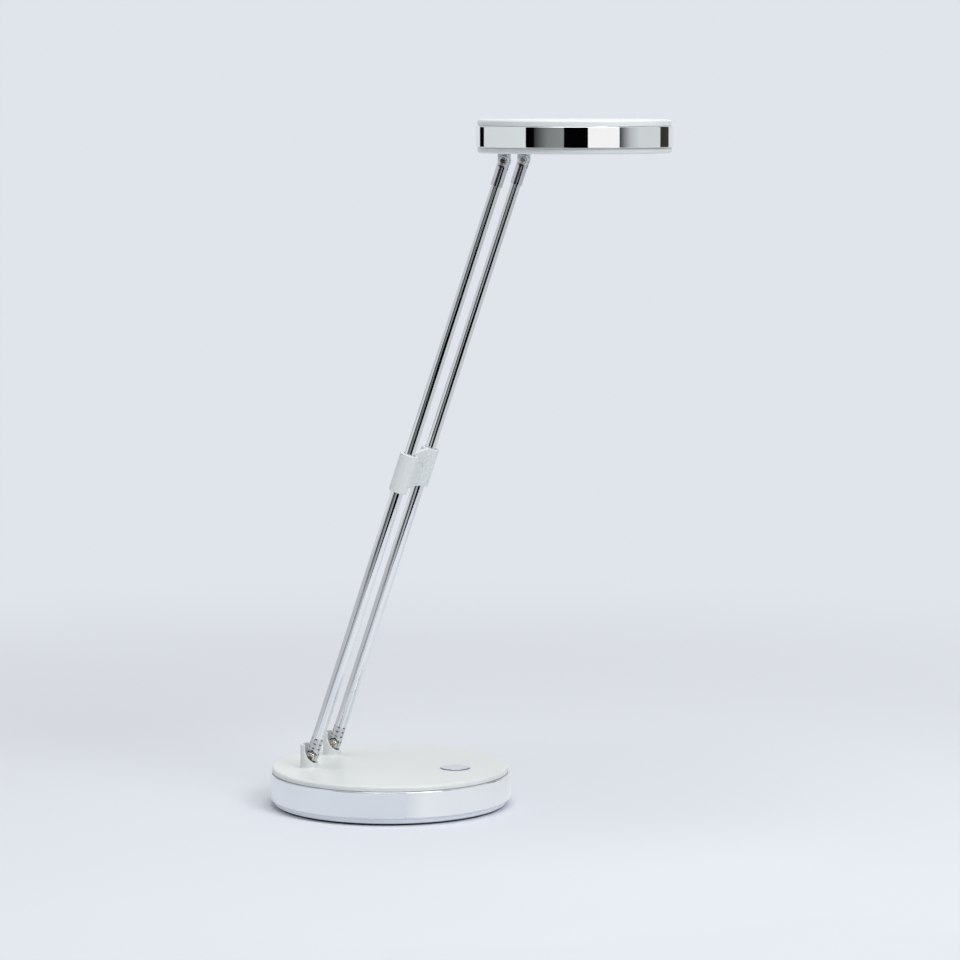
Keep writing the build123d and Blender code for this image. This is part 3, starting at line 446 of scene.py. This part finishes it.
# painted reflection: the top is tinted lavender for the cool room it mirrors; painted shade: a dark tint on the
# side faces
buttonLook = {
    **finishes["chrome_trim"], "tint": (216, 220, 234), "tintClouded": (210, 214, 229),
    "roughness": (0.10, 0.18), "sideShadeTint": (88, 88, 94), "sideShadeRoughness": 0.35,
    "sideShadeMetallic": 0.6, "sideShadeFacing": (0.35, 0.75),
}


def buttonFinish():
    material = mouldedFinish("button_finish", buttonLook)
    tree = material.node_tree
    normal = addNode(tree, "ShaderNodeTexCoord").outputs["Normal"]
    _, _, upward = addNode(tree, "ShaderNodeSeparateXYZ", {0: normal}).outputs
    # painted shade on the faces that turn away from straight up
    side = spread(tree, upward, 1.0, 0.0, *buttonLook["sideShadeFacing"])
    overlay(material, side, buttonLook["sideShadeTint"], buttonLook["sideShadeRoughness"],
            buttonLook["sideShadeMetallic"])
    return material


nodes["switch_button"].data.materials[0] = buttonFinish()
print("finishes:", len(materials), "on", len(nodes), "nodes")


# lower tubes, crimped onto the fork shanks by rings of punch marks
crimpedTubes = {
    "crimpLength": 0.0100,
    "rows": 3,
    "firstRow": 0.0050,  # from the base hinge along the arm
    "rowPitch": 0.00255,
    "marksRound": 6,
    "markAngle": 38.0,  # degrees of the tube that one mark takes
    "markHeight": 0.0012,
    "markDepth": 0.00026,
    "markFlat": (0.45, 0.25),  # level share of a mark, round the tube and along it
    # painted shade in the punch marks
    "dentShadeTint": (72, 70, 76), "dentShadeRoughness": 0.55, "dentShadeMetallic": 0.3,
    "dentShadeEdge": (0.30, 0.85),
    "satinTint": (207, 208, 212), "satinRoughness": 0.36, "satinMetallic": 0.55,
    "satinFade": (0.0088, 0.0112),  # from the base hinge along the arm
    "turn": 2.0,  # degrees from straight ahead to a mark
    "wall": 0.0003,
    "sidesRound": 160,
    "crimpRings": 100,
    "plainRings": 16,
    "mergeDistance": 0.000002,
}


def makeTubeTree():
    sizes = ["Radius", "Start", "End", "Crimp Length", "First Row", "Row Pitch", "Mark Angle",
             "Mark Height", "Mark Depth", "Turn", "Lean", "Spacing"]
    counts = ["Rows", "Marks Round", "Sides Round", "Crimp Rings", "Plain Rings"]
    inputs = [(label, "NodeSocketFloat", 0.0) for label in sizes]
    inputs += [(label, "NodeSocketInt", 1) for label in counts]
    inputs += [("Hinge", "NodeSocketVector", None), ("Finish", "NodeSocketMaterial", None)]
    tree, entry, leave = newGroup("crimpedTubes", "GeometryNodeTree", inputs,
                                  [("Geometry", "NodeSocketGeometry")])

    def run(low, high, rings):
        length = maths(tree, "SUBTRACT", high, low)
        middle = maths(tree, "MULTIPLY", maths(tree, "ADD", high, low), 0.5)
        tube = addNode(tree, "GeometryNodeMeshCylinder",
                       {"Vertices": entry["Sides Round"], "Side Segments": rings,
                        "Radius": entry["Radius"], "Depth": length}, fill_type="NONE")
        lift = addNode(tree, "ShaderNodeCombineXYZ", {2: middle})
        moved = addNode(tree, "GeometryNodeTransform",
                        {"Geometry": tube.outputs["Mesh"], "Translation": lift.outputs[0]})
        return moved.outputs[0]

    crimpEnd = maths(tree, "ADD", entry["Start"], entry["Crimp Length"])
    join = addNode(tree, "GeometryNodeJoinGeometry")
    for part in (run(crimpEnd, entry["End"], entry["Plain Rings"]),
                 run(entry["Start"], crimpEnd, entry["Crimp Rings"])):
        tree.links.new(part, join.inputs[0])
    merged = addNode(tree, "GeometryNodeMergeByDistance",
                     {"Geometry": join.outputs[0], "Distance": crimpedTubes["mergeDistance"]})

    # each mark fades out round the tube and along it
    position = addNode(tree, "GeometryNodeInputPosition").outputs[0]
    x, y, z = addNode(tree, "ShaderNodeSeparateXYZ", {0: position}).outputs
    angle = maths(tree, "SUBTRACT", maths(tree, "ARCTAN2", x, maths(tree, "MULTIPLY", y, -1.0)),
                  entry["Turn"])
    across = maths(tree, "PINGPONG", angle, maths(tree, "DIVIDE", pi, entry["Marks Round"]))
    along = maths(tree, "SUBTRACT", z, entry["First Row"])
    halfPitch = maths(tree, "MULTIPLY", entry["Row Pitch"], 0.5)
    beside = maths(tree, "PINGPONG", along, halfPitch)

    def fade(distance, size, flat):
        share = maths(tree, "DIVIDE", distance, maths(tree, "MULTIPLY", size, 0.5))
        node = addNode(tree, "ShaderNodeMapRange", {0: share, 1: flat, 2: 1.0, 3: 1.0, 4: 0.0},
                       interpolation_type="SMOOTHSTEP")
        return node.outputs[0]

    flatRound, flatAlong = crimpedTubes["markFlat"]
    mark = maths(tree, "MULTIPLY", fade(across, entry["Mark Angle"], flatRound),
                 fade(beside, entry["Mark Height"], flatAlong))
    rowsEnd = maths(tree, "SUBTRACT", maths(tree, "MULTIPLY", entry["Rows"], entry["Row Pitch"]),
                    halfPitch)
    inRows = maths(tree, "MULTIPLY", maths(tree, "LESS_THAN", along, rowsEnd),
                   maths(tree, "GREATER_THAN", along, maths(tree, "MULTIPLY", halfPitch, -1.0)))
    marking = maths(tree, "MULTIPLY", mark, inRows)
    depth = maths(tree, "MULTIPLY", marking, entry["Mark Depth"])
    inward = maths(tree, "DIVIDE", maths(tree, "MULTIPLY", depth, -1.0), entry["Radius"])
    flat = addNode(tree, "ShaderNodeCombineXYZ", {0: x, 1: y})
    push = addNode(tree, "ShaderNodeVectorMath", {0: flat.outputs[0], "Scale": inward},
                   operation="SCALE")
    # keep each point's share of a mark for the painted shade in the marks
    marked = addNode(tree, "GeometryNodeStoreNamedAttribute",
                     {"Geometry": merged.outputs[0], "Name": "crimpDentShade", "Value": marking},
                     data_type="FLOAT", domain="POINT")
    dented = addNode(tree, "GeometryNodeSetPosition",
                     {"Geometry": marked.outputs[0], "Offset": push.outputs[0]})
    smooth = addNode(tree, "GeometryNodeSetShadeSmooth", {0: dented.outputs[0]})

    # the pair stands side by side on the base hinge and leans with the arm
    side = addNode(tree, "ShaderNodeCombineXYZ", {1: maths(tree, "MULTIPLY", entry["Spacing"], -0.5)})
    step = addNode(tree, "ShaderNodeCombineXYZ", {1: entry["Spacing"]})
    pair = addNode(tree, "GeometryNodeMeshLine",
                   {"Count": 2, "Start Location": side.outputs[0], "Offset": step.outputs[0]})
    placed = addNode(tree, "GeometryNodeInstanceOnPoints",
                     {"Points": pair.outputs[0], "Instance": smooth.outputs[0]})
    lean = addNode(tree, "ShaderNodeCombineXYZ", {1: entry["Lean"]})
    leaned = addNode(tree, "GeometryNodeTransform",
                     {"Geometry": placed.outputs[0], "Translation": entry["Hinge"],
                      "Rotation": lean.outputs[0]})
    real = addNode(tree, "GeometryNodeRealizeInstances", {0: leaned.outputs[0]})
    finished = addNode(tree, "GeometryNodeSetMaterial",
                       {"Geometry": real.outputs[0], "Material": entry["Finish"]})
    tree.links.new(finished.outputs[0], leave.inputs[0])
    return tree


def setInputs(modifier, values):
    for item in modifier.node_group.interface.items_tree:
        if item.item_type == "SOCKET" and item.in_out == "INPUT" and item.name in values:
            modifier[item.identifier] = values[item.name]


def crimpedFinish(hinge):
    material = mouldedFinish("crimped_tube_finish", finishes["chrome_trim"])
    tree = material.node_tree
    look = crimpedTubes
    place = addNode(tree, "ShaderNodeTexCoord").outputs["Object"]
    offset = addNode(tree, "ShaderNodeVectorMath", {0: place, 1: hinge}, operation="SUBTRACT")
    along = addNode(tree, "ShaderNodeVectorMath", {0: offset.outputs[0], 1: armUp},
                    operation="DOT_PRODUCT").outputs["Value"]
    crimped = spread(tree, along, 1.0, 0.0, *look["satinFade"])
    overlay(material, crimped, look["satinTint"], look["satinRoughness"], look["satinMetallic"])
    # painted shade in the punch marks, read from the stored mark share
    dentShade = addNode(tree, "ShaderNodeAttribute", attribute_name="crimpDentShade").outputs["Fac"]
    overlay(material, spread(tree, dentShade, 0.0, 1.0, *look["dentShadeEdge"]), look["dentShadeTint"],
            look["dentShadeRoughness"], look["dentShadeMetallic"])
    return material


def makeLowerTubes():
    look = crimpedTubes
    hinge = Vector(jointByName["arm_tilt"]["pos_m"])
    sides = [sum(corner.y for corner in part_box("lower_tube_" + side)) / 2 for side in ("left", "right")]
    middle = hinge + Vector((0, sides[0], 0))
    reach = [(vertex.co - middle) for vertex in nodes["lower_tube_left"].data.vertices]
    lengths = [offset.dot(armUp) for offset in reach]
    radius = max((offset - armUp * offset.dot(armUp)).length for offset in reach)
    tubes = bpy.data.objects.new("crimpedLowerTubes", bpy.data.meshes.new("crimpedLowerTubes"))
    scene.collection.objects.link(tubes)
    modifier = tubes.modifiers.new("crimpedTubes", "NODES")
    modifier.node_group = makeTubeTree()
    setInputs(modifier, {
        "Radius": radius, "Start": min(lengths), "End": max(lengths),
        "Crimp Length": look["crimpLength"], "First Row": look["firstRow"],
        "Row Pitch": look["rowPitch"], "Mark Angle": radians(look["markAngle"]),
        "Mark Height": look["markHeight"], "Mark Depth": look["markDepth"],
        "Turn": radians(look["turn"]), "Lean": armUp.angle(Vector((0, 0, 1))),
        "Spacing": abs(sides[0] - sides[1]), "Rows": look["rows"],
        "Marks Round": look["marksRound"], "Sides Round": look["sidesRound"],
        "Crimp Rings": look["crimpRings"], "Plain Rings": look["plainRings"],
        "Hinge": hinge, "Finish": crimpedFinish(hinge),
    })
    wall = tubes.modifiers.new("tubeWall", "SOLIDIFY")
    wall.thickness = look["wall"]
    wall.offset = -1.0
    bpy.context.view_layer.update()
    ready = tubes.evaluated_get(bpy.context.evaluated_depsgraph_get())
    tubes.data = bpy.data.meshes.new_from_object(ready)
    tubes.modifiers.clear()
    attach(tubes, "lower_arm")
    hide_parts("lower_tube_left", "lower_tube_right")
    print("lower tubes:", len(tubes.data.polygons), "faces, radius", round(radius, 5),
          "from", round(min(lengths), 5), "to", round(max(lengths), 5))


makeLowerTubes()


# studio: pale floor, soft lamps, and cards that only polished metal shows
studio = {
    "floorTint": (230, 234, 241),
    "floorRoughness": 0.9, "floorGloss": 0.1, "floorGrain": 0.002, "floorCloud": 0.4,
    "floorReach": 9.0,
    "backdrop": (224, 228, 235),
    "floorFade": (0.16, 0.95),  # from the lamp, where the floor melts into the backdrop
    "ambient": 0.43,
    "cardReach": 1.6,
    "cardMiddle": (0.10078, 0.0),
    "cardSteps": 12,
    "cardTints": {
        "cool": (0.965, 0.99, 1.02), "plain": (0.98, 1.02, 1.0),
        "warm": (1.03, 1.0, 0.972), "brown": (1.2, 1.0, 0.82),
    },
    "cards": [  # from, to in degrees round the lamp, low, high, light at each end, tint
        (-163.0, -126.5, -0.05, 1.10, 0.82, 0.82, "cool"),
        (-126.5, -113.8, -0.05, 0.31, 0.62, 0.62, "cool"),
        (-126.5, -113.8, 0.31, 0.41, 0.001, 0.001, "cool"),
        (-126.5, -113.8, 0.41, 1.10, 0.66, 0.66, "cool"),
        (-113.8, -43.2, -0.05, 0.30, 0.56, 0.58, "cool"),
        (-113.8, -43.2, 0.30, 0.42, 0.775, 0.83, "plain"),
        (-113.8, -43.2, 0.42, 1.10, 0.66, 0.66, "cool"),
        (-43.2, -32.8, 0.06, 1.10, 0.001, 0.001, "cool"),
        (-32.8, -16.0, -0.05, 1.10, 0.03, 0.24, "plain"),
        (-16.0, 2.0, -0.05, 1.10, 0.24, 0.29, "plain"),
        (2.0, 29.1, 0.00, 2.20, 0.001, 0.001, "cool"),
        (29.1, 66.2, 0.00, 1.10, 1.058, 1.058, "warm"),
        (66.2, 80.0, -0.05, 1.10, 0.03, 0.55, "cool"),
        (80.0, 92.0, -0.05, 1.10, 0.55, 0.73, "plain"),
        (92.0, 129.6, -0.05, 1.10, 0.75, 0.75, "plain"),
        (129.8, 152.2, 0.00, 1.10, 0.030, 0.045, "brown"),
        (152.8, 197.0, -0.05, 1.10, 0.82, 0.84, "cool"),
    ],
    # on the floor, seen by metal alone: from, to in degrees, near, far, light at near and far
    "patches": [
        (14.0, 57.0, 0.31, 1.45, 0.0, 0.0),
        (2.0, 14.0, 0.95, 1.45, 0.0, 0.0),
        (2.0, 14.0, 0.30, 0.95, 0.60, 0.22),
        (-40.0, 2.0, 0.30, 1.00, 0.60, 0.20),
        (-40.0, 2.0, 1.00, 1.58, 0.20, 0.20),
        (57.0, 150.0, 0.27, 1.30, 0.74, 0.42),
    ],
    "patchMiddle": (0.02, -0.02),
    "baseGlow": [  # close round the base: near edge from, to, far edge from, to, light from, to
        (23.0, 34.0, 32.0, 45.0, 0.835, 0.95),
        (34.0, 80.0, 45.0, 100.0, 0.95, 0.91),
        (80.0, 160.0, 100.0, 170.0, 0.91, 0.81),
    ],
    "baseGlowReach": (0.0662, 0.26),
    "baseMiddle": (0.0, 0.0),
    "patchHeight": 0.0008,
    "lamps": [  # name, degrees round, degrees up, distance, size, watts
        ("overheadLamp", 30.0, 80.0, 1.6, 1.1, 13.0),
        ("rightLamp", 58.0, 40.0, 1.8, 0.7, 10.5),
        ("leftLamp", -62.0, 34.0, 1.9, 0.9, 0.8),
    ],
    "lampAim": (0.03, 0.0, 0.16),
}


def onRing(middle, reach, angle, height):
    turn = radians(angle)
    return (middle[0] + reach * sin(turn), middle[1] - reach * cos(turn), height)


def between(start, end, share):
    return start + (end - start) * share


def stageMesh(name, points, faces, material):
    mesh = bpy.data.meshes.new(name)
    mesh.from_pydata(points, [], faces)
    mesh.materials.append(material)
    thing = bpy.data.objects.new(name, mesh)
    scene.collection.objects.link(thing)
    return thing


def onlyInReflections(thing):
    thing.visible_camera = False
    thing.visible_diffuse = False
    thing.visible_shadow = False
    thing.visible_transmission = False
    thing.visible_volume_scatter = False


def glowMaterial(name):
    material = bpy.data.materials.new(name)
    material.use_nodes = True
    tree = material.node_tree
    tree.nodes.remove(tree.nodes["Principled BSDF"])
    material.cycles.emission_sampling = "NONE"  # the cards are seen, and light nothing
    tone = addNode(tree, "ShaderNodeAttribute", attribute_name="tone").outputs["Color"]
    glow = addNode(tree, "ShaderNodeEmission", {"Color": tone})
    tree.links.new(glow.outputs[0], tree.nodes["Material Output"].inputs["Surface"])
    return material


def setTones(thing, tones):
    layer = thing.data.color_attributes.new("tone", "FLOAT_COLOR", "POINT")
    for index, (tone, tintName) in enumerate(tones):
        layer.data[index].color = (*[tone * share for share in studio["cardTints"][tintName]], 1)


def seenDirectly(tree):
    rays = addNode(tree, "ShaderNodeLightPath").outputs
    seen = maths(tree, "ADD", rays["Is Camera Ray"], rays["Is Glossy Ray"], True)
    return maths(tree, "ADD", seen, rays["Is Transmission Ray"], True)


def makeFloor():
    material, tree, shader, place = newMaterial("paleFloor")
    material.cycles.emission_sampling = "NONE"  # the floor's glow is for the eye alone
    grain = useGroup(tree, grainGroup, place,
                     **{"Grain Size": studio["floorGrain"], "Cloud Size": studio["floorCloud"]})
    tree.links.new(blendColours(tree, grain["Cloud"], paint(studio["floorTint"]),
                                paint(studio["backdrop"])), shader.inputs["Base Color"])
    shader.inputs["Roughness"].default_value = studio["floorRoughness"]
    shader.inputs["Specular IOR Level"].default_value = studio["floorGloss"]
    away = addNode(tree, "ShaderNodeVectorMath", {0: place}, operation="LENGTH").outputs["Value"]
    near, far = studio["floorFade"]
    fade = addNode(tree, "ShaderNodeMapRange", {0: away, 1: near, 2: far, 3: 0.0, 4: 1.0},
                   interpolation_type="SMOOTHSTEP").outputs[0]
    share = maths(tree, "MULTIPLY", fade, seenDirectly(tree))
    glow = addNode(tree, "ShaderNodeEmission", {"Color": paint(studio["backdrop"])})
    mixed = addNode(tree, "ShaderNodeMixShader", {0: share, 1: shader.outputs[0], 2: glow.outputs[0]})
    tree.links.new(mixed.outputs[0], tree.nodes["Material Output"].inputs["Surface"])
    reach = studio["floorReach"]
    corners = [(-reach, -reach, 0), (reach, -reach, 0), (reach, reach, 0), (-reach, reach, 0)]
    stageMesh("paleFloor", corners, [(0, 1, 2, 3)], material)


# a strip of quads between two rows of points round a middle
def addStrip(points, faces, lowRow, highRow):
    base = len(points)
    for low, high in zip(lowRow, highRow):
        points.extend((low, high))
    for corner in range(base, len(points) - 2, 2):
        faces.append((corner, corner + 2, corner + 3, corner + 1))


def makeCards():
    material = glowMaterial("reflectedCards")
    steps = studio["cardSteps"]
    shares = [step / steps for step in range(steps + 1)]
    points, faces, tones = [], [], []
    middle, reach = studio["cardMiddle"], studio["cardReach"]
    for start, end, low, high, first, last, tintName in studio["cards"]:
        rows = [[onRing(middle, reach, between(start, end, share), height) for share in shares]
                for height in (low, high)]
        addStrip(points, faces, *rows)
        tones.extend((between(first, last, share), tintName) for share in shares for _ in rows)
    cards = stageMesh("reflectedCards", points, faces, material)
    setTones(cards, tones)
    onlyInReflections(cards)
    points, faces, tones = [], [], []
    level = studio["patchHeight"]
    for start, end, near, far, first, last in studio["patches"]:
        rows = [[onRing(studio["patchMiddle"], edge, between(start, end, share), level)
                 for share in shares] for edge in (near, far)]
        addStrip(points, faces, *rows)
        tones.extend((tone, "cool") for _ in shares for tone in (first, last))
    for nearStart, nearEnd, farStart, farEnd, first, last in studio["baseGlow"]:
        edges = zip(studio["baseGlowReach"], ((nearStart, nearEnd), (farStart, farEnd)))
        rows = [[onRing(studio["baseMiddle"], edge, between(start, end, share), level)
                 for share in shares] for edge, (start, end) in edges]
        addStrip(points, faces, *rows)
        tones.extend((between(first, last, share), "cool") for share in shares for _ in rows)
    patch = stageMesh("floorPatches", points, faces, material)
    setTones(patch, tones)
    onlyInReflections(patch)


def makeLamps():
    aim = Vector(studio["lampAim"])
    for name, turn, rise, distance, size, watts in studio["lamps"]:
        data = bpy.data.lights.new(name, "AREA")
        data.energy = watts
        data.shape = "SQUARE"
        data.size = size
        lamp = bpy.data.objects.new(name, data)
        level = distance * cos(radians(rise))
        lamp.location = onRing(aim, level, turn, aim.z + distance * sin(radians(rise)))
        lamp.rotation_euler = (aim - lamp.location).to_track_quat("-Z", "Y").to_euler()
        lamp.visible_camera = False
        scene.collection.objects.link(lamp)


def makeWorld():
    world = bpy.data.worlds.new("paleRoom")
    world.use_nodes = True
    tree = world.node_tree
    ambient = (studio["ambient"],) * 3 + (1,)
    colour = blendColours(tree, seenDirectly(tree), ambient, paint(studio["backdrop"]))
    tree.links.new(colour, tree.nodes["Background"].inputs["Color"])
    scene.world = world


makeFloor()
makeCards()
makeLamps()
makeWorld()
print("studio:", len(studio["cards"]), "cards and", len(studio["lamps"]), "lamps")
